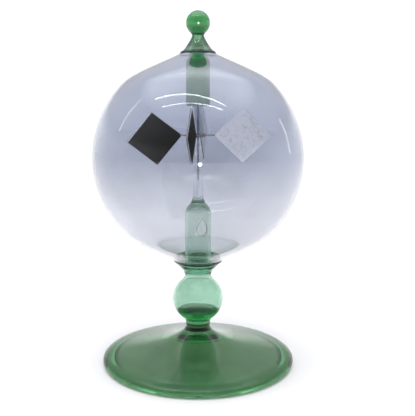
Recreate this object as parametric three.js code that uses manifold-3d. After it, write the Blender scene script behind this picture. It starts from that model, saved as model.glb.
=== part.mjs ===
// A light-mill radiometer in lamp-blown glass, in millimetres, +Z up.
// The origin is the centre of the ring that the foot stands on. Every glass piece is turned about Z.
// The rotor is a group of its own. Its origin is the needle's tip, and it turns about Z.
import * as THREE from 'three';
import { mergeVertices } from 'three/addons/utils/BufferGeometryUtils.js';
import Module from 'manifold-3d';

// Bulb
const bulbRadius = 60;
const bulbCentreZ = 120.1;
const wall = 1.2;

// Foot, knop, and the seal where the bulb is joined to them
const footRadius = 56.3;
const rimInnerRadius = 50.3;
const rimZ = 5.9;
const stemRadius = 7.3;
const stemTopZ = 24.8;
const plugTopZ = 32;
const knopRadius = 14.8;
const knopHalfHeight = 14.2;
const knopCentreZ = 38.1;
const waistRadius = 7.8;
const waistZ = 52.2;
const tubeRadius = 7.6;
const collarSeatZ = 55.4;
const lowerSealZ = 60.6;
const lowerSealRadii = [13.4, 14.4];
const sealHeight = 1.4;
const sealBulge = 0.35;

// Support tube, needle holder and needle
const supportShoulderZ = 88.5;
const supportTopZ = 97.4;
const supportTipRadius = 3.2;
const ventCentreZ = 82;
const ventWidth = 5.8;
const ventHeight = 11;
const ventAzimuth = THREE.MathUtils.degToRad(-69);
const holderRadius = 2.9;
const holderTopZ = 116.4;
const holderBoreZ = 108;
const needleRadius = 0.5;
const needleTaper = 3;
const needleTipZ = 152;

// Cone, finial, and the tube that keeps the rotor on its needle
const upperSealZ = 179.7;
const upperSealRadii = [10.2, 8.8];
const coneHollowZ = 184.6;
const coneTopZ = 188.7;
const neckRadius = 3.25;
const finialRadius = 6.8;
const finialCentreZ = 195.7;
const retainerRadius = 6.8;
const retainerEndZ = 150;
const retainerShoulderZ = 172.5;
const retainerStemZ = 178;
const retainerStemRadius = 3.7;

// Rotor. Its pieces keep a small gap to each other and to the needle.
const rotorTurn = THREE.MathUtils.degToRad(-8);
const fittedGap = 0.3;
const cupRadius = 3.1;
const cupWall = 0.8;
const cupMouthZ = 132.2;
const armZ = 133.6;
const armRadius = 0.4;
const bandHeight = 1.8;
const bandWall = 0.7;
const vaneHalfWidth = 16.4;
const vaneHalfHeight = 15.4;
const vaneInnerRadius = 9.2;
const vaneCornerCut = 0.7;
const blackLeaf = 0.3;
const foilLeaf = 0.2;
const vaneDroop = [0, 0, 7, 0].map(THREE.MathUtils.degToRad);

const turns = 40;
const smallTurns = 24;

function surface(name, color, roughness, metalness) {
  const material = new THREE.MeshStandardMaterial({ color, roughness, metalness });
  material.name = name;
  return material;
}

const clearGlass = surface('clear_glass', 0xd4d9f2, 0.04, 0);
const greenGlass = surface('green_glass', 0x5c8f5c, 0.05, 0);
const paleGreenGlass = surface('pale_green_glass', 0x9cc4ac, 0.05, 0);
const deepGreenGlass = surface('deep_green_glass', 0x1f7a3c, 0.05, 0);
const steel = surface('steel', 0x8d8f94, 0.3, 1);
const foil = surface('foil', 0xd9d3e0, 0.45, 1);
const lampBlack = surface('lamp_black', 0x211f1c, 0.95, 0);

// An outline is a list of points (radius, height). Open runs go upwards along the outside.
function at(radius, height) {
  return new THREE.Vector2(radius, height);
}

// Part of a ball's outline, between two latitudes in degrees. A ball may be flatter than it is wide.
function ballOutline(centreZ, radius, halfHeight, fromDegrees, toDegrees, steps) {
  const sweep = toDegrees - fromDegrees;
  return Array.from({ length: steps + 1 }, (_, i) => {
    const latitude = THREE.MathUtils.degToRad(fromDegrees + (sweep * i) / steps);
    return at(radius * Math.cos(latitude), centreZ + halfHeight * Math.sin(latitude));
  });
}

function bend(start, startPull, endPull, end, steps) {
  return new THREE.CubicBezierCurve(start, startPull, endPull, end).getPoints(steps);
}

function joined(...runs) {
  const points = runs.flat();
  return points.filter((point, i) => i === 0 || point.distanceTo(points[i - 1]) > 0.02);
}

// The inner side of a wall whose outside is the given run. Both ends are cut level.
function innerSide(outside, thickness) {
  const last = outside.length - 1;
  return outside.map((point, i) => {
    if (i === 0 || i === last) {
      return at(point.x - thickness, point.y);
    }
    const along = outside[i + 1].clone().sub(outside[i - 1]).normalize();
    return at(point.x - along.y * thickness, point.y + along.x * thickness);
  });
}

function named(name, geometry, material) {
  const mesh = new THREE.Mesh(geometry, material);
  mesh.name = name;
  return mesh;
}

// A solid of revolution about Z. Its outline runs counter-clockwise, and ends on the axis or meets itself.
function turned(name, outline, material, segments = turns) {
  const startsOnAxis = outline[0].x === 0;
  const closed = startsOnAxis ? outline : [...outline, outline[0].clone()];
  const geometry = new THREE.LatheGeometry(closed, segments);
  geometry.rotateX(Math.PI / 2);
  return named(name, geometry, material);
}

const wasm = await Module();
wasm.setup();

function toManifold(geometry) {
  const bare = geometry.clone();
  bare.deleteAttribute('normal');
  bare.deleteAttribute('uv');
  const merged = mergeVertices(bare, 1e-4);
  const vertProperties = merged.attributes.position.array;
  const corners = Array.from(merged.index.array);
  const triVerts = [];
  for (let i = 0; i < corners.length; i += 3) {
    const [a, b, c] = corners.slice(i, i + 3);
    if (a !== b && b !== c && c !== a) {
      triVerts.push(a, b, c);
    }
  }
  return new wasm.Manifold(
    new wasm.Mesh({ numProp: 3, vertProperties, triVerts: new Uint32Array(triVerts) }),
  );
}

function fromManifold(solid) {
  const mesh = solid.getMesh();
  const geometry = new THREE.BufferGeometry();
  geometry.setAttribute('position', new THREE.BufferAttribute(mesh.vertProperties, 3));
  geometry.setIndex(new THREE.BufferAttribute(mesh.triVerts, 1));
  geometry.computeVertexNormals();
  return geometry;
}

// The foot's skirt rises from a rolled rim, gently and then steeply, to a short solid stem.
function footOutside() {
  const breakPoint = at(20, 12.7);
  return joined(
    bend(at(footRadius, 2.4), at(footRadius, 4.6), at(54, 5.4), at(rimInnerRadius, rimZ), 4),
    bend(at(rimInnerRadius, rimZ), at(38, 8), at(27, 10.2), breakPoint, 4),
    bend(breakPoint, at(13, 15.2), at(8, 17.6), at(stemRadius - 0.3, 21.6), 4),
    [at(stemRadius, stemTopZ)],
  );
}

function foot() {
  const hollow = joined(
    bend(at(0, 14.8), at(7, 14.4), at(12, 13.1), at(19, 10.5), 4),
    bend(at(19, 10.5), at(26, 8), at(38, 5.7), at(rimInnerRadius - 0.6, 3.4), 4),
  );
  const ground = [at(rimInnerRadius, 0), at(footRadius - 1.6, 0), at(footRadius - 0.3, 0.8)];
  return turned('foot', joined(hollow, ground, footOutside(), [at(0, stemTopZ)]), greenGlass);
}

function knopOutside() {
  return joined(
    [at(stemRadius, stemTopZ)],
    ballOutline(knopCentreZ, knopRadius, knopHalfHeight, -57, 54, 10),
    [at(waistRadius + 0.2, waistZ - 1.4), at(waistRadius, waistZ)],
  );
}

function knop() {
  const outside = knopOutside();
  const inside = innerSide(outside, wall);
  return turned('knop', [...outside, ...inside.reverse()], paleGreenGlass);
}

// The pool of solid glass that lies in the bottom of the knop, with a slightly domed top.
function knopPlug() {
  const wetted = innerSide(knopOutside(), wall).filter((point) => point.y < plugTopZ);
  const edge = wetted.at(-1);
  const crown = at(0, edge.y + 1.6);
  const top = bend(edge, at(edge.x * 0.7, edge.y + 1.2), at(edge.x * 0.3, crown.y), crown, 3);
  return turned('knop_plug', joined([at(0, stemTopZ)], wetted, top), deepGreenGlass);
}

// A flared collar on the tube, whose open edge is sealed to the bulb's neck.
function sealCollar() {
  const lip = at(lowerSealRadii[0], lowerSealZ - sealHeight / 2);
  const outside = bend(at(waistRadius, waistZ), at(8, 55), at(10.4, 56.8), lip, 6);
  const edge = at(lip.x - wall, lip.y);
  const inside = bend(edge, at(10.4, 58), at(8.6, 57.4), at(tubeRadius, collarSeatZ), 4);
  return turned('seal_collar', joined(outside, inside, [at(tubeRadius, waistZ)]), paleGreenGlass);
}

// A bead of dark glass between two walls that meet edge to edge.
function sealRing(name, height, [lowRadius, highRadius]) {
  const low = height - sealHeight / 2;
  const high = height + sealHeight / 2;
  const middleRadius = (lowRadius + highRadius) / 2;
  const outline = [
    at(lowRadius - wall, low),
    at(lowRadius, low),
    at(middleRadius + sealBulge, height),
    at(highRadius, high),
    at(highRadius - wall, high),
    at(middleRadius - wall - sealBulge, height),
  ];
  return turned(name, outline, deepGreenGlass);
}

// The globe is one piece of glass, drawn to a neck below and above. It's made as two halves that meet at
// its widest circle, so that each half is open right across.
function bulbHalf(name, outside) {
  return turned(name, [...outside, ...innerSide(outside, wall).reverse()], clearGlass);
}

function bulbLower() {
  const edge = at(lowerSealRadii[1], lowerSealZ + sealHeight / 2);
  const ball = ballOutline(bulbCentreZ, bulbRadius, bulbRadius, -45, 0, 7);
  const neck = bend(edge, at(18.6, 65.6), at(33, 69), ball[0], 6);
  return bulbHalf('bulb_lower', joined(neck, ball));
}

function bulbUpper() {
  const edge = at(upperSealRadii[0], upperSealZ - sealHeight / 2);
  const ball = ballOutline(bulbCentreZ, bulbRadius, bulbRadius, 0, 45, 7);
  const neck = bend(ball.at(-1), at(36.4, 168.5), at(18.6, 174.7), edge, 6);
  return bulbHalf('bulb_upper', joined(ball, neck));
}

// A drop-shaped hole, rounded below and pointed above.
function ventCutter() {
  const pull = ventWidth * 0.65;
  const low = -ventHeight / 2;
  const high = ventHeight / 2;
  const belly = low + ventHeight * 0.45;
  const shoulder = low + ventHeight * 0.7;
  const shoulderX = ventWidth / 4;
  const tip = low + ventHeight * 0.85;
  const tipX = ventWidth * 0.075;
  const outline = new THREE.Shape();
  outline.moveTo(0, low);
  outline.bezierCurveTo(pull, low, pull, belly, shoulderX, shoulder);
  outline.quadraticCurveTo(tipX, tip, 0, high);
  outline.quadraticCurveTo(-tipX, tip, -shoulderX, shoulder);
  outline.bezierCurveTo(-pull, belly, -pull, low, 0, low);
  const geometry = new THREE.ExtrudeGeometry(outline, {
    depth: tubeRadius * 1.5,
    bevelEnabled: false,
    curveSegments: 5,
  });
  geometry.rotateX(Math.PI / 2);
  geometry.rotateZ(Math.PI / 2 + ventAzimuth);
  geometry.translate(0, 0, ventCentreZ);
  return geometry;
}

// The tube that carries the needle. A vent in its side opens the knop and the tube to the bulb.
function supportTube() {
  const outside = joined(
    [at(tubeRadius, waistZ)],
    bend(at(tubeRadius, supportShoulderZ), at(tubeRadius, 92.8), at(5.2, 93), at(3.8, 95.4), 5),
    [at(supportTipRadius, supportTopZ)],
  );
  const inner = tubeRadius - wall;
  const inside = joined(
    bend(at(0, 93), at(3.4, 93), at(inner, 91.4), at(inner, supportShoulderZ), 4),
    [at(inner, waistZ)],
  );
  const whole = turned('', joined(inside, outside, [at(0, supportTopZ)]), paleGreenGlass);
  const cut = toManifold(whole.geometry).subtract(toManifold(ventCutter()));
  return named('support_tube', fromManifold(cut), paleGreenGlass);
}

// A glass rod, fused to the tube's tip, with a bore for the needle in its rounded top.
function needleHolder() {
  const brow = at(holderRadius, holderTopZ - 3);
  const mouth = at(needleRadius, holderTopZ);
  const outline = joined(
    [at(0, supportTopZ), at(supportTipRadius, supportTopZ), at(holderRadius, supportTopZ + 1.6)],
    bend(brow, at(brow.x, holderTopZ - 1), at(1.6, holderTopZ), mouth, 4),
    [at(needleRadius, holderBoreZ), at(0, holderBoreZ)],
  );
  return turned('needle_holder', outline, clearGlass, smallTurns);
}

function pivotNeedle() {
  const outline = [
    at(0, holderBoreZ),
    at(needleRadius, holderBoreZ),
    at(needleRadius, holderTopZ),
    at(needleRadius, needleTipZ - needleTaper),
    at(0, needleTipZ),
  ];
  return turned('pivot_needle', outline, steel, smallTurns);
}

function topCone() {
  const edge = at(upperSealRadii[1], upperSealZ + sealHeight / 2);
  const ledge = at(retainerStemRadius + fittedGap, coneHollowZ);
  const hollow = [at(0, coneHollowZ), ledge, at(edge.x - wall, edge.y)];
  const outside = bend(edge, at(6.7, 182.4), at(5, 185.2), at(neckRadius, coneTopZ), 5);
  return turned('top_cone', joined(hollow, outside, [at(0, coneTopZ)]), greenGlass);
}

function finialBall() {
  const ball = ballOutline(finialCentreZ, finialRadius, finialRadius, -50, 90, 10).slice(0, -1);
  const top = at(0, finialCentreZ + finialRadius);
  const outline = joined([at(0, coneTopZ), at(neckRadius, coneTopZ), at(3.5, 189.5)], ball, [top]);
  return turned('finial_ball', outline, deepGreenGlass);
}

// An open tube, hung by a short stem from the cone, whose mouth surrounds the cup's crown.
function retainingTube() {
  const outer = retainerRadius;
  const inner = outer - wall;
  const lipZ = retainerEndZ + 0.4;
  const shoulder = at(outer, retainerShoulderZ);
  const stem = at(retainerStemRadius, retainerStemZ);
  const outside = joined(
    [at(inner + 0.2, retainerEndZ), at(outer - 0.2, retainerEndZ), at(outer, lipZ)],
    bend(shoulder, at(outer, 176), at(4.4, 176), stem, 5),
    [at(stem.x, coneHollowZ), at(0, coneHollowZ)],
  );
  const inside = joined(
    bend(at(0, 175), at(3.4, 175), at(inner, 174.4), at(inner, shoulder.y - 1), 4),
    [at(inner, lipZ)],
  );
  return turned('retaining_tube', joined(inside, outside), paleGreenGlass);
}

// The rotor's pieces, with heights measured from the needle's tip.
function bearingCup() {
  const mouth = cupMouthZ - needleTipZ;
  const crown = fittedGap + cupWall;
  const inner = cupRadius - cupWall;
  const hollow = joined(
    bend(at(0, fittedGap), at(1.4, fittedGap), at(inner, -1.2), at(inner, -3), 4),
    [at(inner, mouth), at(cupRadius, mouth)],
  );
  const outside = bend(at(cupRadius, -3), at(cupRadius, -0.4), at(1.9, crown), at(0, crown), 4);
  return turned('bearing_cup', joined(hollow, outside), clearGlass, smallTurns);
}

function hubBand() {
  const inner = cupRadius + fittedGap;
  const low = armZ - needleTipZ - bandHeight / 2;
  const high = low + bandHeight;
  const outer = inner + bandWall;
  const outline = [at(inner, low), at(outer, low), at(outer, high), at(inner, high)];
  return turned('hub_band', outline, steel, smallTurns);
}

// An arm runs along +X from the band to the corner of its vane.
function arm(name) {
  const start = cupRadius + fittedGap + bandWall + fittedGap;
  const end = vaneInnerRadius + vaneCornerCut - fittedGap;
  const geometry = new THREE.CylinderGeometry(armRadius, armRadius, end - start, 12);
  geometry.rotateZ(Math.PI / 2);
  const mesh = named(name, geometry, steel);
  mesh.position.x = (start + end) / 2;
  return mesh;
}

// A leaf that stands on one corner in the XZ plane, with the corner at the arm cut off.
function leafGeometry(thickness) {
  const cutHalfHeight = (vaneCornerCut * vaneHalfHeight) / vaneHalfWidth;
  const outline = new THREE.Shape();
  outline.moveTo(vaneCornerCut, -cutHalfHeight);
  outline.lineTo(vaneHalfWidth, -vaneHalfHeight);
  outline.lineTo(vaneHalfWidth * 2, 0);
  outline.lineTo(vaneHalfWidth, vaneHalfHeight);
  outline.lineTo(vaneCornerCut, cutHalfHeight);
  outline.closePath();
  const geometry = new THREE.ExtrudeGeometry(outline, { depth: thickness, bevelEnabled: false });
  geometry.rotateX(Math.PI / 2);
  return geometry;
}

// A foil leaf backed by a blackened leaf. The black side faces the way that angles about Z grow.
function vane(number, droop) {
  const group = new THREE.Group();
  group.position.x = vaneInnerRadius;
  group.rotation.y = droop;
  const black = named(`vane_${number}_black`, leafGeometry(blackLeaf), lampBlack);
  black.position.y = fittedGap / 2 + blackLeaf;
  const bright = named(`vane_${number}_foil`, leafGeometry(foilLeaf), foil);
  bright.position.y = -fittedGap / 2;
  group.add(black, bright);
  return group;
}

function rotor() {
  const group = new THREE.Group();
  group.position.z = needleTipZ;
  group.rotation.z = rotorTurn;
  group.add(bearingCup(), hubBand());
  vaneDroop.forEach((droop, i) => {
    const side = new THREE.Group();
    side.position.z = armZ - needleTipZ;
    side.rotation.z = (i * 2 * Math.PI) / vaneDroop.length;
    side.add(arm(`arm_${i + 1}`), vane(i + 1, droop));
    group.add(side);
  });
  return group;
}

const radiometer = new THREE.Group();
radiometer.add(
  foot(),
  knopPlug(),
  knop(),
  sealCollar(),
  sealRing('lower_seal_ring', lowerSealZ, lowerSealRadii),
  bulbLower(),
  bulbUpper(),
  supportTube(),
  needleHolder(),
  pivotNeedle(),
  sealRing('upper_seal_ring', upperSealZ, upperSealRadii),
  topCone(),
  finialBall(),
  retainingTube(),
  rotor(),
);
export default radiometer;
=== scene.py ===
"""A light-mill radiometer: blown glass on a green foot, with a rotor of black and foil vanes."""

import math

import bmesh
import bpy
from mathutils import Matrix, Vector, noise


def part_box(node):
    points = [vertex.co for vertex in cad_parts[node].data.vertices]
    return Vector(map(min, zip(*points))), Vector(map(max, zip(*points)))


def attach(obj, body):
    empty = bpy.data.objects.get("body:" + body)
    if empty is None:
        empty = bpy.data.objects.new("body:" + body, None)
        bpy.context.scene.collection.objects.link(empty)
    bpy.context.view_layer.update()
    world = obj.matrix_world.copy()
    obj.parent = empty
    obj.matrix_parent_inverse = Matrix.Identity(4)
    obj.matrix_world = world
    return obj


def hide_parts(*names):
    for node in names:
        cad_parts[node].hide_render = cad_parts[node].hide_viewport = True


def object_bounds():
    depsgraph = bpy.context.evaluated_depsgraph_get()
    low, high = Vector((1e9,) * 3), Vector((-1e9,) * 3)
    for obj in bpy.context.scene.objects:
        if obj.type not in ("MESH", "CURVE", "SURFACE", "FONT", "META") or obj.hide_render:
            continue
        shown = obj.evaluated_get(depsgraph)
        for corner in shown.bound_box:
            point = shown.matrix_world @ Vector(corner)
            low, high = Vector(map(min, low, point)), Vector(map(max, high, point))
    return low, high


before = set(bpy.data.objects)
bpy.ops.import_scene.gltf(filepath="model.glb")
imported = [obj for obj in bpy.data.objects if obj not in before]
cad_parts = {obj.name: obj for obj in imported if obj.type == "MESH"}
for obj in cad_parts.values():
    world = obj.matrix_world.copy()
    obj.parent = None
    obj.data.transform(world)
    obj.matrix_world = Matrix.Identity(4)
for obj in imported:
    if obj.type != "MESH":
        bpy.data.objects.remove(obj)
cad_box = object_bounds()

MM = 0.001
GLASS_IOR = 1.47
SEAM = 0.04  # mm left between two glass pieces, so that their faces never lie in one another

# Walls and levels that the CAD boxes don't show, in millimetres
WALL = 1.2
RIM_INNER = 50.3
STEM_RADIUS = 7.3
PLUG_TOP = 30.8
KNOP_CENTRE = 38.1
KNOP_HALF_HEIGHT = 14.2
SKIRT_BREAK = (20, 12.7)
HOLLOW_BREAK = (19, 10.5)
HOLLOW_EDGE = (RIM_INNER - 4, 3.9)
WAIST_RADIUS = 7.8
COLLAR_SEAT = 55.4
LOWER_SEAL_RADII = (13.4, 14.4)
SUPPORT_SHOULDER = 88.5
SUPPORT_TIP_RADIUS = 3.2
VENT_CENTRE = 82.0
VENT_WIDTH = 5.8
VENT_HEIGHT = 11.0
VENT_AZIMUTH = math.radians(-69)
VENT_REACH = (2.0, 12.0)  # how far from the axis its cutter starts and ends
HOLDER_RADIUS = 2.9
HOLDER_BORE = 108.0
HOLDER_BORE_RADIUS = 0.54
UPPER_SEAL_RADII = (10.2, 8.8)
CONE_HOLLOW = 184.6
CONE_NECK_RADIUS = 3.25
RETAINER_SHOULDER = 172.5
RETAINER_STEM = (3.7, 178.0)
CUP_WALL = 0.8
FITTED_GAP = 0.3
ROTOR_TURN = math.radians(-8)
VANE_INNER = 9.2
VANE_HALF = (16.4, 15.4)
CORNER_CUT = 0.7
VANE_DROOP = [0, 0, math.radians(7), 0]
BLACK_LEAF = 0.3
FOIL_LEAF = 0.2
LEAF_STEPS = 30
HEM = 0.09  # how far in the foil's hem reaches, as a part of the leaf's side
FOLD = 0.03  # the same for the foil's lap over a black leaf

# Green glass: the share of red, green and blue that it keeps, and how strongly it absorbs, in 1/m
GREEN_KEPT = (0.25, 0.71, 0.42)
GREEN_DENSITY = 190.0


# Places taken from the CAD frame


class Turned:
    """The largest radius and the lowest and highest level of a turned CAD node, in millimetres."""

    def __init__(self, node):
        low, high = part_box(node)
        self.radius = high[0] / MM
        self.low = low[2] / MM
        self.high = high[2] / MM


# Outlines, as lists of (radius, height) in millimetres


def bend(start, start_pull, end_pull, end, steps=12):
    points = []
    for i in range(steps + 1):
        t = i / steps
        s = 1 - t
        weights = (s**3, 3 * s * s * t, 3 * s * t * t, t**3)
        corners = (start, start_pull, end_pull, end)
        points.append(tuple(sum(w * c[k] for w, c in zip(weights, corners)) for k in (0, 1)))
    return points


def ball(centre, radius, half_height, low, high, steps=40):
    """Part of a ball's outline, between two latitudes in degrees."""
    angles = [math.radians(low + (high - low) * i / steps) for i in range(steps + 1)]
    return [(radius * math.cos(a), centre + half_height * math.sin(a)) for a in angles]


def joined(*runs):
    points = []
    for point in (p for run in runs for p in run):
        if not points or math.dist(point, points[-1]) > 0.02:
            points.append(point)
    return points


def inner_side(outside, thickness):
    """The inner side of a wall whose outside is the given run. Both ends are cut level."""
    inside = []
    for i, (radius, height) in enumerate(outside):
        if i in (0, len(outside) - 1):
            inside.append((radius - thickness, height))
            continue
        before, after = outside[i - 1], outside[i + 1]
        length = math.dist(before, after)
        along = ((after[0] - before[0]) / length, (after[1] - before[1]) / length)
        inside.append((radius - along[1] * thickness, height + along[0] * thickness))
    return inside


# Meshes


def add_ring(bm, radius, height, segments):
    """The corners at one level of a surface of revolution: a single one on the axis."""
    if radius < 1e-6:
        return [bm.verts.new((0, 0, height * MM))]
    angles = (2 * math.pi * k / segments for k in range(segments))
    return [
        bm.verts.new((radius * math.cos(a) * MM, radius * math.sin(a) * MM, height * MM))
        for a in angles
    ]


def add_lathe(bm, outline, segments, closed):
    """Adds a surface of revolution. An outline that isn't closed starts and ends on the axis."""
    rings = [add_ring(bm, radius, height, segments) for radius, height in outline]
    pairs = list(zip(rings, rings[1:]))
    if closed:
        pairs.append((rings[-1], rings[0]))
    for low, high in pairs:
        for k in range(segments):
            after = (k + 1) % segments
            corners = [low[k % len(low)], low[after % len(low)]]
            corners += [high[after % len(high)], high[k % len(high)]]
            corners = list(dict.fromkeys(corners))
            if len(corners) > 2:
                bm.faces.new(corners)


def to_object(bm, name, sharp=math.radians(40)):
    mesh = bpy.data.meshes.new(name)
    bm.to_mesh(mesh)
    bm.free()
    mesh.shade_smooth()
    mesh.set_sharp_from_angle(angle=sharp)
    piece = bpy.data.objects.new(name, mesh)
    bpy.context.scene.collection.objects.link(piece)
    return piece


def lathe(name, outline, segments=160, closed=False):
    bm = bmesh.new()
    add_lathe(bm, outline, segments, closed)
    bmesh.ops.recalc_face_normals(bm, faces=bm.faces)
    return to_object(bm, name)


def settle(piece, body, slot, material, *nodes):
    """Gives a finished piece its material and body, and hides the CAD nodes that it stands for."""
    piece.data.materials.append(material)
    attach(piece, body)
    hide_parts(*nodes)


# Materials


class Nodes:
    """A material and short ways to add nodes to it."""

    def __init__(self, name):
        self.material = bpy.data.materials.new(name)
        self.material.use_nodes = True
        self.tree = self.material.node_tree
        self.tree.nodes.clear()
        self.output = self.add("ShaderNodeOutputMaterial")
        self.shader = self.add("ShaderNodeBsdfPrincipled")
        self.link(self.shader, "BSDF", self.output, "Surface")
        self.place = self.add("ShaderNodeTexCoord")

    def add(self, kind, **values):
        node = self.tree.nodes.new(kind)
        for name, value in values.items():
            node.inputs[name.replace("_", " ")].default_value = value
        return node

    def link(self, start, out, end, into):
        self.tree.links.new(start.outputs[out], end.inputs[into])

    def noise(self, scale, detail=3.0, stretch=(1, 1, 1)):
        mapping = self.add("ShaderNodeMapping", Scale=stretch)
        self.link(self.place, "Object", mapping, "Vector")
        texture = self.add("ShaderNodeTexNoise", Scale=scale, Detail=detail)
        self.link(mapping, "Vector", texture, "Vector")
        return texture

    def ramp(self, source, out, stops):
        ramp = self.add("ShaderNodeValToRGB")
        elements = ramp.color_ramp.elements
        while len(elements) < len(stops):
            elements.new(0.5)
        for element, (position, color) in zip(elements, stops):
            element.position = position
            element.color = (*color, 1)
        self.link(source, out, ramp, "Fac")
        return ramp

    def shaded(self, tint, streaks):
        """A tint that streaks of noise darken a little."""
        shade = self.ramp(streaks, "Fac", [(0.3, (0.84, 0.84, 0.84)), (0.7, (1, 1, 1))])
        return self.times(tint.outputs["Color"], shade.outputs["Color"])

    def times(self, first, second):
        """Two colours multiplied. The result is the node's Vector output."""
        product = self.add("ShaderNodeVectorMath")
        product.operation = "MULTIPLY"
        self.tree.links.new(first, product.inputs[0])
        self.tree.links.new(second, product.inputs[1])
        return product

    def bump(self, source, out, strength, distance):
        bump = self.add("ShaderNodeBump", Strength=strength, Distance=distance)
        self.link(source, out, bump, "Height")
        self.link(bump, "Normal", self.shader, "Normal")

    def along(self, axis, low, high):
        """0 at one place on an axis and 1 at another, in millimetres."""
        split = self.add("ShaderNodeSeparateXYZ")
        self.link(self.place, "Object", split, "Vector")
        scale = self.add("ShaderNodeMapRange")
        scale.inputs["From Min"].default_value = low * MM
        scale.inputs["From Max"].default_value = high * MM
        self.link(split, axis, scale, "Value")
        return scale


def make_glass(nodes, absorbed=None, density=0.0):
    """Clear solid glass. What it absorbs is its colour's complement, times the density in 1/m."""
    nodes.shader.inputs["Transmission Weight"].default_value = 1
    nodes.shader.inputs["IOR"].default_value = GLASS_IOR
    nodes.shader.inputs["Roughness"].default_value = 0.0
    if absorbed:
        volume = nodes.add("ShaderNodeVolumeAbsorption", Density=density)
        volume.inputs["Color"].default_value = (*absorbed, 1)
        nodes.link(volume, "Volume", nodes.output, "Volume")
    return nodes.material


def clear_glass():
    """The bulb: faintly lilac, a tint painted in for the bluish room seen through it, a little patchy,
    with the slow waves of blown glass.

    Painted shade darkens the glass: the wall behind the rotor more than the wall in front of it, so that
    the vanes stay bright, and the middle and top more than the bottom.
    """
    nodes = Nodes("blown_clear_glass")
    clouds = nodes.noise(17, 2, (1, 1, 1.3))
    # painted shade by height: the middle and top of the bulb darker than the bottom, over the lilac tint
    # painted in for the room
    tint = nodes.ramp(
        nodes.along("Z", 60, 180),
        "Result",
        [
            (0.00, (0.98, 0.99, 1.00)),
            (0.26, (0.97, 0.98, 1.00)),
            (0.52, (0.76, 0.79, 0.86)),
            (1.00, (0.79, 0.83, 0.90)),
        ],
    )
    # painted shade: the far wall of the bulb darker than the near wall
    depth = nodes.along("Y", -60, 60)
    far_wall_painted_shade = nodes.ramp(depth, "Result", [(0, (1, 1, 1)), (1, (0.60, 0.615, 0.67))])
    patchy_and_painted_shade = nodes.shaded(tint, clouds)
    shade = nodes.times(patchy_and_painted_shade.outputs["Vector"], far_wall_painted_shade.outputs["Color"])
    nodes.link(shade, "Vector", nodes.shader, "Base Color")
    nodes.bump(nodes.noise(16, 1, (1, 1, 0.5)), "Fac", 0.12, 0.0004)
    return make_glass(nodes)


def small_clear_glass():
    """Worked rod and tube: clearer, with drawn-out streaks along it."""
    nodes = Nodes("drawn_clear_glass")
    streaks = nodes.noise(420, 2, (1, 1, 0.12))
    tint = nodes.ramp(streaks, "Fac", [(0.35, (0.52, 0.54, 0.60)), (0.65, (0.86, 0.88, 0.93))])
    nodes.link(tint, "Color", nodes.shader, "Base Color")
    nodes.bump(streaks, "Fac", 0.15, 0.0002)
    return make_glass(nodes)


def stand_glass():
    """Green glass, darker in the foot by painted shade for the shadow under it, and darker in a band
    just under the knop. Its thickness gives most of its colour.
    """
    nodes = Nodes("green_stand_glass")
    level = nodes.along("Z", 0, 100)
    tint = nodes.ramp(
        level,
        "Result",
        [
            # painted shade: the foot's two stops are darker for the shadow under the foot
            (0.00, (0.50, 0.66, 0.48)),
            (0.14, (0.54, 0.68, 0.50)),
            (0.21, (0.40, 0.42, 0.38)),
            (0.27, (0.74, 0.88, 0.80)),
            (0.60, (0.72, 0.86, 0.80)),
            (0.70, (1.00, 1.00, 1.00)),
        ],
    )
    streaks = nodes.noise(60, 3, (1, 1, 0.3))
    nodes.link(nodes.shaded(tint, streaks), "Vector", nodes.shader, "Base Color")
    nodes.bump(nodes.noise(45, 2, (1, 1, 0.4)), "Fac", 0.14, 0.0003)
    return make_glass(nodes, GREEN_KEPT, GREEN_DENSITY)


def top_glass():
    """Green glass, deepening from the open tube to the finial."""
    nodes = Nodes("green_top_glass")
    streaks = nodes.noise(130, 3, (1, 1, 0.3))
    tint = nodes.ramp(
        nodes.along("Z", 150, 202),
        "Result",
        [
            (0.00, (0.66, 0.74, 0.68)),
            (0.40, (0.54, 0.68, 0.56)),
            (0.70, (0.36, 0.54, 0.42)),
            (0.76, (0.26, 0.42, 0.28)),
            (0.82, (0.32, 0.58, 0.34)),
        ],
    )
    nodes.link(nodes.shaded(tint, streaks), "Vector", nodes.shader, "Base Color")
    nodes.bump(streaks, "Fac", 0.1, 0.0002)
    return make_glass(nodes, GREEN_KEPT, GREEN_DENSITY)


def ring_glass():
    """The darkest green, for the beads where glass is sealed to glass."""
    nodes = Nodes("dark_seal_glass")
    streaks = nodes.noise(260, 3)
    tint = nodes.ramp(streaks, "Fac", [(0.3, (0.05, 0.09, 0.06)), (0.7, (0.14, 0.24, 0.17))])
    nodes.link(tint, "Color", nodes.shader, "Base Color")
    nodes.bump(streaks, "Fac", 0.15, 0.0002)
    return make_glass(nodes, GREEN_KEPT, GREEN_DENSITY * 3)


def steel():
    nodes = Nodes("worn_steel")
    grain = nodes.noise(700, 4)
    tint = nodes.ramp(grain, "Fac", [(0.35, (0.16, 0.15, 0.15)), (0.65, (0.46, 0.45, 0.46))])
    nodes.link(tint, "Color", nodes.shader, "Base Color")
    rough = nodes.add("ShaderNodeMapRange")
    rough.inputs["To Min"].default_value = 0.25
    rough.inputs["To Max"].default_value = 0.5
    nodes.link(grain, "Fac", rough, "Value")
    nodes.link(rough, "Result", nodes.shader, "Roughness")
    nodes.shader.inputs["Metallic"].default_value = 1
    nodes.bump(grain, "Fac", 0.2, 0.0002)
    return nodes.material


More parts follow.
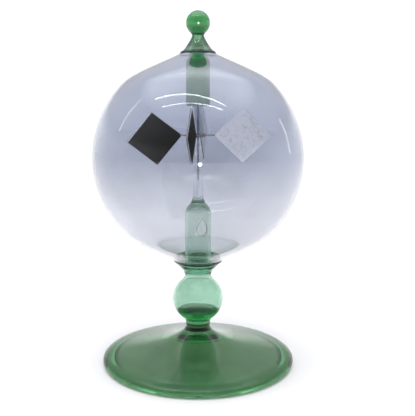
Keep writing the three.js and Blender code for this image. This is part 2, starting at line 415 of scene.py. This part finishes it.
def foil():
    """Crumpled leaf: lilac-white where it is flat, with painted shade greying it along its crease lines.
    """
    nodes = Nodes("crumpled_foil")
    painted_crease_shade = nodes.noise(150, 3)
    tint = nodes.ramp(
        painted_crease_shade,
        "Fac",
        [
            (0.30, (0.88, 0.84, 0.87)),
            (0.47, (1.00, 0.98, 0.99)),
            (0.50, (0.72, 0.68, 0.72)),
            (0.53, (1.00, 0.98, 0.99)),
            (0.70, (0.92, 0.88, 0.91)),
        ],
    )
    nodes.link(tint, "Color", nodes.shader, "Base Color")
    nodes.shader.inputs["Metallic"].default_value = 0.05
    nodes.shader.inputs["Roughness"].default_value = 0.45
    nodes.bump(nodes.noise(420, 4), "Fac", 0.5, 0.0006)
    return nodes.material


def foil_hem():
    """Foil pressed flat where it is folded over; its colour, brighter than the rest, is a painted
    highlight of its shine.
    """
    nodes = Nodes("foil_hem")
    grain = nodes.noise(500, 4)
    tint = nodes.ramp(grain, "Fac", [(0.35, (0.94, 0.92, 0.94)), (0.6, (1.0, 1.0, 1.0))])
    nodes.link(tint, "Color", nodes.shader, "Base Color")
    nodes.shader.inputs["Roughness"].default_value = 0.35
    nodes.bump(grain, "Fac", 0.3, 0.0002)
    return nodes.material


def lamp_black():
    """Soot on leaf: matte, a shade browner where it is thin."""
    nodes = Nodes("lamp_black_soot")
    soot = nodes.noise(260, 5)
    tint = nodes.ramp(soot, "Fac", [(0.35, (0.004, 0.0035, 0.003)), (0.7, (0.010, 0.008, 0.006))])
    nodes.link(tint, "Color", nodes.shader, "Base Color")
    nodes.shader.inputs["Roughness"].default_value = 0.92
    nodes.shader.inputs["Specular IOR Level"].default_value = 0.05
    nodes.bump(soot, "Fac", 0.4, 0.0002)
    return nodes.material


def floor_finish():
    nodes = Nodes("pale_floor")
    nodes.link(
        nodes.ramp(nodes.noise(3, 2), "Fac", [(0.3, (0.90,) * 3), (0.7, (0.92,) * 3)]),
        "Color",
        nodes.shader,
        "Base Color",
    )
    nodes.shader.inputs["Roughness"].default_value = 0.9
    nodes.shader.inputs["Specular IOR Level"].default_value = 0.1
    return nodes.material


# Glass that stands still


def vent_cutter():
    """A drop-shaped bar, rounded below and pointed above, that crosses one wall of the tube."""
    low, high = -VENT_HEIGHT / 2, VENT_HEIGHT / 2
    pull = VENT_WIDTH * 0.65
    shoulder = (VENT_WIDTH / 4, low + VENT_HEIGHT * 0.7)
    near_tip = (VENT_WIDTH * 0.075, low + VENT_HEIGHT * 0.85)
    right = bend((0, low), (pull, low), (pull, low + VENT_HEIGHT * 0.45), shoulder, 14)
    right += bend(shoulder, near_tip, near_tip, (0, high), 8)[1:]
    left = [(-x, z) for x, z in right[-2:0:-1]]
    bm = bmesh.new()
    start, end = (reach * MM for reach in VENT_REACH)
    face = bm.faces.new([bm.verts.new((start, x * MM, z * MM)) for x, z in right + left])
    grown = bmesh.ops.extrude_face_region(bm, geom=[face])
    for vert in (v for v in grown["geom"] if isinstance(v, bmesh.types.BMVert)):
        vert.co.x = end
    bmesh.ops.recalc_face_normals(bm, faces=bm.faces)
    cutter = to_object(bm, "vent_cutter")
    cutter.data.transform(
        Matrix.Translation((0, 0, VENT_CENTRE * MM)) @ Matrix.Rotation(VENT_AZIMUTH, 4, "Z")
    )
    return cutter


def cut(piece, cutter):
    """Takes the cutter's shape out of a piece, and removes the cutter."""
    boolean = piece.modifiers.new("vent", "BOOLEAN")
    boolean.object = cutter
    boolean.solver = "EXACT"
    bpy.context.view_layer.update()
    evaluated = piece.evaluated_get(bpy.context.evaluated_depsgraph_get())
    made = bpy.data.meshes.new_from_object(evaluated)
    piece.modifiers.clear()
    piece.data = made
    bpy.data.objects.remove(cutter)


def knop_outside():
    knop = Turned("knop")
    return joined(
        [(STEM_RADIUS, Turned("foot").high)],
        ball(KNOP_CENTRE, knop.radius, KNOP_HALF_HEIGHT, -57, 54),
        [(WAIST_RADIUS + 0.2, knop.high - 1.4), (WAIST_RADIUS, knop.high)],
    )


def stand_outline():
    """The outer skin of foot, stem, knop, collar and support tube, from axis to axis."""
    foot = Turned("foot")
    collar = Turned("seal_collar")
    tube = Turned("support_tube")
    lip = (collar.radius, collar.high - SEAM)
    seat = (tube.radius, COLLAR_SEAT)
    return joined(
        bend((0, 14.8), (7, 14.4), (12, 13.1), HOLLOW_BREAK),
        bend(HOLLOW_BREAK, (26, 8), (36, 5.9), HOLLOW_EDGE),
        bend(HOLLOW_EDGE, (RIM_INNER - 1.2, 3.3), (RIM_INNER, 0.4), (52.6, 0)),
        bend((54.2, 0), (55.4, 0), (foot.radius, 1.0), (foot.radius, 2.4)),
        bend((foot.radius, 2.4), (foot.radius, 4.6), (54, 5.4), (RIM_INNER, 5.9)),
        bend((RIM_INNER, 5.9), (38, 8), (27, 10.2), SKIRT_BREAK),
        bend(SKIRT_BREAK, (13, 15.2), (8, 17.6), (STEM_RADIUS - 0.3, 21.6)),
        knop_outside(),
        bend((WAIST_RADIUS, collar.low), (8, 55), (10.4, 56.8), lip),
        bend((lip[0] - WALL, lip[1]), (10.4, 58), (8.6, 57.4), seat),
        bend((tube.radius, SUPPORT_SHOULDER), (tube.radius, 92.8), (5.2, 93), (3.8, 95.4)),
        [(SUPPORT_TIP_RADIUS, tube.high - SEAM), (0, tube.high - SEAM)],
    )


def stand_cavity():
    """The air in the knop and the tube, above the pool of solid glass."""
    tube = Turned("support_tube")
    inner = tube.radius - WALL
    walls = [p for p in inner_side(knop_outside(), WALL) if p[1] > PLUG_TOP][:-1]
    edge = walls[0]
    crown = edge[1] + 0.8
    pool = bend((0, crown), (edge[0] * 0.4, crown), (edge[0] * 0.7, crown - 0.4), edge)
    dome = bend((inner, SUPPORT_SHOULDER), (inner, 91.4), (3.4, 93), (0, 93))
    return joined(pool, walls, [(inner, Turned("knop").high + 1)], dome)


def green_stand(material):
    """Foot, stem, knop, collar and support tube, as one piece of glass around one space."""
    outer = lathe("green_stand", stand_outline(), 192)
    bm = bmesh.new()
    bm.from_mesh(outer.data)
    inside = bmesh.new()
    add_lathe(inside, stand_cavity(), 192, False)
    bmesh.ops.recalc_face_normals(inside, faces=inside.faces)
    bmesh.ops.reverse_faces(inside, faces=inside.faces)
    cavity = bpy.data.meshes.new("cavity")
    inside.to_mesh(cavity)
    inside.free()
    bm.from_mesh(cavity)
    bm.to_mesh(outer.data)
    bm.free()
    cut(outer, vent_cutter())
    outer.data.shade_smooth()
    outer.data.set_sharp_from_angle(angle=math.radians(40))
    nodes = ("foot", "knop_plug", "knop", "seal_collar", "support_tube")
    settle(outer, "glass", "green_glass", material, *nodes)


def seal_ring(node, material, radii):
    """A rounded bead of dark glass between two walls."""
    ring = Turned(node)
    low_radius, high_radius = radii
    low, high = ring.low + SEAM, ring.high - SEAM
    middle = (low + high) / 2
    outside = bend((low_radius, low), (ring.radius, low), (ring.radius, high), (high_radius, high), 10)
    widest = max(p[0] for p in outside)
    outside = [(min(r + (ring.radius - widest) * 0.8, ring.radius), z) for r, z in outside]
    thin = WALL + 0.2
    inside = [(r - thin, 2 * middle - z) for r, z in outside]
    piece = lathe(f"{node}_bead", outside + inside, 160, True)
    settle(piece, "glass", "deep_green_glass", material, node)


def bulb(material):
    """One piece of blown glass, which the CAD has as two halves that meet at its widest circle."""
    lower, upper = Turned("bulb_lower"), Turned("bulb_upper")
    low_edge = (LOWER_SEAL_RADII[1], lower.low + SEAM)
    high_edge = (UPPER_SEAL_RADII[0], upper.high - SEAM)
    globe = ball(lower.high, lower.radius, lower.radius, -45, 45, 64)
    outside = joined(
        bend(low_edge, (18.6, 65.6), (33, 69), globe[0], 20),
        globe,
        bend(globe[-1], (36.4, 168.5), (18.6, 174.7), high_edge, 20),
    )
    shell = lathe("bulb_shell", outside + inner_side(outside, WALL)[::-1], 192, True)
    settle(shell, "glass", "clear_glass", material, "bulb_lower", "bulb_upper")


def green_top(material):
    """Cone, ball finial and the open tube that hangs from the cone, as one piece of glass."""
    cone = Turned("top_cone")
    tube = Turned("retaining_tube")
    finial = Turned("finial_ball")
    outer, inner = tube.radius, tube.radius - WALL
    edge = (UPPER_SEAL_RADII[1], cone.low + SEAM)
    centre = finial.high - finial.radius
    outline = joined(
        bend((0, 175), (3.4, 175), (inner, 174.4), (inner, RETAINER_SHOULDER - 1)),
        bend((inner, tube.low + 0.5), (inner, tube.low), (outer, tube.low), (outer, tube.low + 0.5)),
        bend((outer, RETAINER_SHOULDER), (outer, 176), (4.4, 176), RETAINER_STEM),
        [(RETAINER_STEM[0], CONE_HOLLOW), (4.0, CONE_HOLLOW), (edge[0] - WALL, edge[1])],
        bend(edge, (6.7, 182.4), (5, 185.2), (CONE_NECK_RADIUS, cone.high)),
        [(3.5, cone.high + 0.8)],
        ball(centre, finial.radius, finial.radius, -50, 90)[:-1],
        [(0, finial.high)],
    )
    piece = lathe("green_top", outline, 128)
    nodes = ("top_cone", "finial_ball", "retaining_tube")
    settle(piece, "glass", "green_glass", material, *nodes)


def needle_holder(material):
    """A clear rod on the tube's tip, with a bore for the needle in its rounded top."""
    holder = Turned("needle_holder")
    low, high = holder.low + SEAM, holder.high
    radius, bore = HOLDER_RADIUS, HOLDER_BORE_RADIUS
    outline = joined(
        [(0, low), (SUPPORT_TIP_RADIUS, low)],
        bend((SUPPORT_TIP_RADIUS, low), (3.1, low + 0.8), (radius, low + 1), (radius, low + 1.6)),
        bend((radius, high - 3), (radius, high - 1), (1.6, high), (bore, high)),
        [(bore, HOLDER_BORE - SEAM), (0, HOLDER_BORE - SEAM)],
    )
    piece = lathe("needle_holder_rod", outline, 96)
    settle(piece, "glass", "clear_glass", material, "needle_holder")


# Rotor


def bearing_cup(material):
    """The inverted cup that hangs on the needle's tip."""
    cup = Turned("bearing_cup")
    tip = cup.high - FITTED_GAP - CUP_WALL
    outer, inner = cup.radius, cup.radius - CUP_WALL
    outline = joined(
        bend((0, tip + FITTED_GAP), (1.4, tip + FITTED_GAP), (inner, tip - 1.2), (inner, tip - 3)),
        bend((inner, cup.low + 0.3), (inner, cup.low), (outer, cup.low), (outer, cup.low + 0.3)),
        bend((outer, tip - 3), (outer, tip - 0.4), (1.9, cup.high), (0, cup.high)),
    )
    piece = lathe("bearing_cup_glass", outline, 96)
    settle(piece, "rotor", "clear_glass", material, "bearing_cup")


def leaf_place(number, arm_height):
    """From a leaf's own plane to the row frame: X runs out along the arm, and Z up."""
    azimuth = ROTOR_TURN + number * math.pi / 2
    return (
        Matrix.Rotation(azimuth, 4, "Z")
        @ Matrix.Translation((VANE_INNER * MM, 0, arm_height * MM))
        @ Matrix.Rotation(VANE_DROOP[number], 4, "Y")
    )


def leaf_grid(bm, part_of, offset_at):
    """One side of a leaf, as rows of corners. u and v run out from the corner at the arm."""
    grid = []
    for i in range(LEAF_STEPS + 1):
        row = []
        for j in range(LEAF_STEPS + 1):
            u, v = i / LEAF_STEPS, j / LEAF_STEPS
            x = max(VANE_HALF[0] * (u + v), CORNER_CUT)
            z = VANE_HALF[1] * (v - u)
            row.append(bm.verts.new(Vector((x, offset_at(u, v), z)) * MM))
        grid.append(row)
    for i in range(LEAF_STEPS):
        for j in range(LEAF_STEPS):
            corners = [grid[i][j], grid[i + 1][j], grid[i + 1][j + 1], grid[i][j + 1]]
            middle = ((i + 0.5) / LEAF_STEPS, (j + 0.5) / LEAF_STEPS)
            bm.faces.new(corners).material_index = part_of(*middle)
    return grid


def grid_edges(grid):
    """The four edges of a side, one after the other around it."""
    return [
        [row[0] for row in grid],
        grid[-1],
        [row[-1] for row in reversed(grid)],
        grid[0][::-1],
    ]


def leaf(name, place, near, far, relief, part_of, rim):
    """A leaf on one corner. relief(u, v) moves its shown side out, in millimetres.

    near is the side towards the other leaf, far the shown side, both as offsets along Y.
    """
    bm = bmesh.new()
    outward = 1 if far > near else -1
    front = leaf_grid(bm, part_of, lambda u, v: far + outward * relief(u, v))
    back = leaf_grid(bm, part_of, lambda u, v: near)
    for front_run, back_run in zip(grid_edges(front), grid_edges(back)):
        for k in range(LEAF_STEPS):
            corners = [front_run[k], front_run[k + 1], back_run[k + 1], back_run[k]]
            bm.faces.new(corners).material_index = rim
    bmesh.ops.recalc_face_normals(bm, faces=bm.faces)
    bm.transform(place)
    return to_object(bm, name, math.radians(60))


def crinkle(seed, height):
    """Fine folds with straight-ish ridges, from 0 to the given height in millimetres."""

    def relief(u, v):
        at = Vector((u * 5, v * 5, seed * 3.7))
        fold = 1 - abs(noise.noise(at)) * 2
        fine = noise.noise(at * 3.1) * 0.3
        return height * max(0.0, min(1.0, 0.8 * fold + fine))

    return relief


def hemmed(relief, height):
    """Raises a foil leaf's hem to the given height in millimetres."""

    def with_hem(u, v):
        return max(relief(u, v), height) if hem_part(u, v) else relief(u, v)

    return with_hem


def hem_part(u, v):
    """A foil leaf's two lower edges are its hem."""
    return 1 if min(v, 1 - u) < HEM else 0


def folded_edge(u, v):
    """The foil laps over a black leaf's upper outer edge, as a narrow line in the hem's finish, which is
    painted brighter as a highlight.
    """
    return 1 if v > 1 - FOLD else 0


def vane(number, arm_height, finishes):
    """A blackened leaf and a foil leaf, back to back with a small gap."""
    place = leaf_place(number, arm_height)
    gap = FITTED_GAP / 2
    black_relief = crinkle(number + 10, 0.05)
    black = leaf(
        f"vane_{number + 1}_black_leaf",
        place,
        gap,
        gap + BLACK_LEAF - 0.05,
        black_relief,
        folded_edge,
        rim=1,
    )
    settle(black, "rotor", "lamp_black", finishes["black"], f"vane_{number + 1}_black")
    black.data.materials.append(finishes["hem"])

    foil_relief = hemmed(crinkle(number, 0.14), 0.13)
    foil_piece = leaf(
        f"vane_{number + 1}_foil_leaf",
        place,
        -gap,
        -gap - FOIL_LEAF + 0.12,
        foil_relief,
        hem_part,
        rim=2,
    )
    settle(foil_piece, "rotor", "foil", finishes["foil"], f"vane_{number + 1}_foil")
    foil_piece.data.materials.append(finishes["hem"])
    foil_piece.data.materials.append(finishes["edge"])


def carried(node, material):
    """A CAD node whose own shape shows, with a procedural finish."""
    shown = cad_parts[node]
    shown.data.materials.clear()
    shown.data.materials.append(material)


# Studio


def floor():
    bm = bmesh.new()
    bmesh.ops.create_grid(bm, x_segments=24, y_segments=24, size=9)
    piece = to_object(bm, "studio_floor")
    piece.location.z = cad_box[0][2] - 0.0002
    piece.data.materials.append(floor_finish())


def area_light(name, place, target, size, power):
    data = bpy.data.lights.new(name, "AREA")
    data.shape = "RECTANGLE"
    data.size, data.size_y = size
    data.energy = power
    lamp = bpy.data.objects.new(name, data)
    lamp.location = place
    lamp.rotation_euler = (Vector(target) - Vector(place)).to_track_quat("-Z", "Y").to_euler()
    bpy.context.scene.collection.objects.link(lamp)


def studio_world():
    """A soft white room: brightest overhead, greyer in between, and dimmer in front of the part."""
    world = bpy.data.worlds.new("studio")
    world.use_nodes = True
    tree = world.node_tree
    tree.nodes.clear()
    output = tree.nodes.new("ShaderNodeOutputWorld")
    background = tree.nodes.new("ShaderNodeBackground")
    place = tree.nodes.new("ShaderNodeTexCoord")
    split = tree.nodes.new("ShaderNodeSeparateXYZ")
    ramp = tree.nodes.new("ShaderNodeValToRGB")
    background.inputs["Strength"].default_value = 2.2
    stops = [(0.0, 0.52), (0.17, 0.52), (0.30, 0.30), (0.70, 0.38), (0.84, 1.0)]
    elements = ramp.color_ramp.elements
    while len(elements) < len(stops):
        elements.new(0.5)
    for element, (position, grey) in zip(elements, stops):
        element.position = position
        element.color = (grey, grey, grey * 1.03, 1)
    links = tree.links
    links.new(place.outputs["Generated"], split.inputs["Vector"])
    links.new(split.outputs["Z"], ramp.inputs["Fac"])
    front = tree.nodes.new("ShaderNodeMapRange")
    front.inputs["From Min"].default_value = -1
    front.inputs["From Max"].default_value = 0
    front.inputs["To Min"].default_value = 0.25
    links.new(split.outputs["Y"], front.inputs["Value"])
    dimmed = tree.nodes.new("ShaderNodeVectorMath")
    dimmed.operation = "SCALE"
    links.new(ramp.outputs["Color"], dimmed.inputs["Vector"])
    links.new(front.outputs["Result"], dimmed.inputs["Scale"])
    links.new(dimmed.outputs["Vector"], background.inputs["Color"])
    links.new(background.outputs["Background"], output.inputs["Surface"])
    bpy.context.scene.world = world


def camera():
    data = bpy.data.cameras.new("camera")
    data.sensor_fit = "HORIZONTAL"
    data.sensor_width = 36
    data.lens = 55.6
    data.shift_x = 0.0229
    piece = bpy.data.objects.new("camera", data)
    piece.location = (0, -0.368, 0.145)
    piece.rotation_euler = (math.radians(90 - 8.26), 0, 0)
    bpy.context.scene.collection.objects.link(piece)
    bpy.context.scene.camera = piece


def studio():
    """Thin lights overhead and at the sides, and a small lamp near the camera."""
    scene = bpy.context.scene
    scene.view_settings.view_transform = "Standard"
    scene.cycles.max_bounces = 24
    scene.cycles.transmission_bounces = 24
    studio_world()
    floor()
    target = (0, 0, 0.12)
    area_light("overhead_strip", (-0.1, -0.35, 1.15), target, (1.3, 0.018), 1.5)
    area_light("overhead_strip_near", (-0.08, -0.52, 1.05), target, (1.1, 0.014), 0.9)
    area_light("front_lamp", (0.02, -0.62, 0.10), target, (0.026, 0.026), 1.7)
    area_light("left_strip", (-0.9, 0.1, 0.7), target, (0.02, 0.5), 0.12)
    area_light("right_strip", (0.95, 0.35, 0.35), target, (0.02, 0.4), 0.10)


# Assembly

camera()
studio()

clear = clear_glass()
drawn = small_clear_glass()
dark_seal = ring_glass()
steel_finish = steel()
leaf_finishes = {"black": lamp_black(), "foil": foil(), "hem": foil_hem(), "edge": steel_finish}

green_stand(stand_glass())
seal_ring("lower_seal_ring", dark_seal, LOWER_SEAL_RADII)
bulb(clear)
needle_holder(drawn)
seal_ring("upper_seal_ring", dark_seal, UPPER_SEAL_RADII)
green_top(top_glass())

bearing_cup(drawn)
band = Turned("hub_band")
arm_height = (band.low + band.high) / 2
for number in range(len(VANE_DROOP)):
    vane(number, arm_height, leaf_finishes)
    carried(f"arm_{number + 1}", steel_finish)
carried("hub_band", steel_finish)
carried("pivot_needle", steel_finish)
